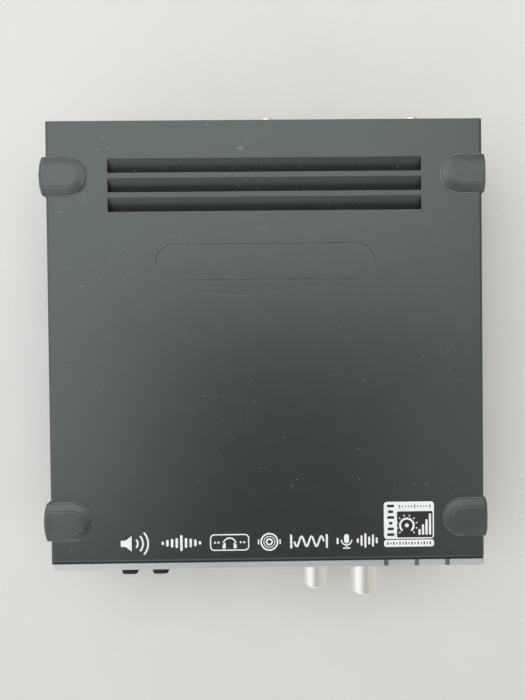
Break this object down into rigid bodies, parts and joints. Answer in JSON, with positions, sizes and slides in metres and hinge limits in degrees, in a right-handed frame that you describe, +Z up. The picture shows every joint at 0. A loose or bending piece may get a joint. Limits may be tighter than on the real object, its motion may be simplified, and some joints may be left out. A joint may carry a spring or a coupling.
{
  "type": "sound card breakout box",
  "caption": "Low sheet-steel box with louvres, rubber bumpers, a silver front with rotary knobs and jacks, and phono sockets and a link connector at the rear.",
  "frame": {"origin": "on the surface it stands on, under the middle of the bounding box", "axes": "+X to the right seen from the front, +Y to the rear, +Z up"},
  "size_m": [0.1886, 0.215, 0.0476],
  "materials": {
    "cover_paint": "satin dark grey paint",
    "tray_paint": "satin dark grey paint",
    "fascia_silver": "silver moulded plastic",
    "inlay_grey": "dark grey plastic",
    "carrier_black": "black moulded plastic",
    "bumper_rubber": "dark grey rubber",
    "knob_silver": "satin silver",
    "steel": "plain steel",
    "screw_black": "blackened steel",
    "board_green": "solder mask",
    "chip_black": "moulded epoxy",
    "can_aluminium": "bare can",
    "socket_black": "black moulded plastic",
    "plug_black": "black moulded plastic",
    "gold": "gold plate",
    "core_white": "white insulator",
    "nickel": "nickel plate",
    "lamp_lens": "clear blue lens"
  },
  "bodies": {
    "case": {"top_cover": "cover_paint", "base_tray": "tray_paint", "fascia_carrier": "carrier_black", "front_fascia": "fascia_silver", "fascia_inlays": "inlay_grey", "bumper_front_left": "bumper_rubber", "bumper_front_right": "bumper_rubber", "bumper_rear_left": "bumper_rubber", "bumper_rear_right": "bumper_rubber", "cover_screws": "screw_black", "carrier_screws": "steel", "main_board": "board_green", "board_standoffs": "steel", "board_screws": "steel", "control_board": "board_green", "deck_standoffs": "steel", "deck_screws": "steel", "deck_header": "socket_black", "jack_nuts": "nickel", "level_pot": "steel", "volume_pot": "steel", "microphone_jack": "socket_black", "headphone_jack": "socket_black", "microphone_barrel": "nickel", "headphone_barrel": "nickel", "optical_in_socket": "socket_black", "optical_out_socket": "socket_black", "optical_in_plug": "plug_black", "optical_out_plug": "plug_black", "power_lamp": "lamp_lens", "phono_in_housing": "socket_black", "phono_out_housing": "socket_black", "phono_in_sleeve": "gold", "phono_out_sleeve": "gold", "phono_in_core": "core_white", "phono_out_core": "core_white", "link_shell": "nickel", "link_insert": "socket_black", "link_jackscrews": "nickel", "main_chip": "chip_black", "converter_chip": "chip_black", "amplifier_chips": "chip_black", "capacitors": "can_aluminium", "crystal": "can_aluminium", "regulator": "chip_black"},
    "level_control": {"level_knob": "knob_silver", "level_shaft": "steel"},
    "volume_control": {"volume_knob": "knob_silver", "volume_shaft": "steel"}
  },
  "joints": [
    {"name": "level_turn", "type": "hinge", "parent": "case", "child": "level_control", "pos_m": [0.0212, -0.09198, 0.0338], "axis": [0, 1, 0], "range_deg": [-150, 150]},
    {"name": "volume_turn", "type": "hinge", "parent": "case", "child": "volume_control", "pos_m": [0.043, -0.09198, 0.0338], "axis": [0, 1, 0], "range_deg": [-150, 150]}
  ]
}
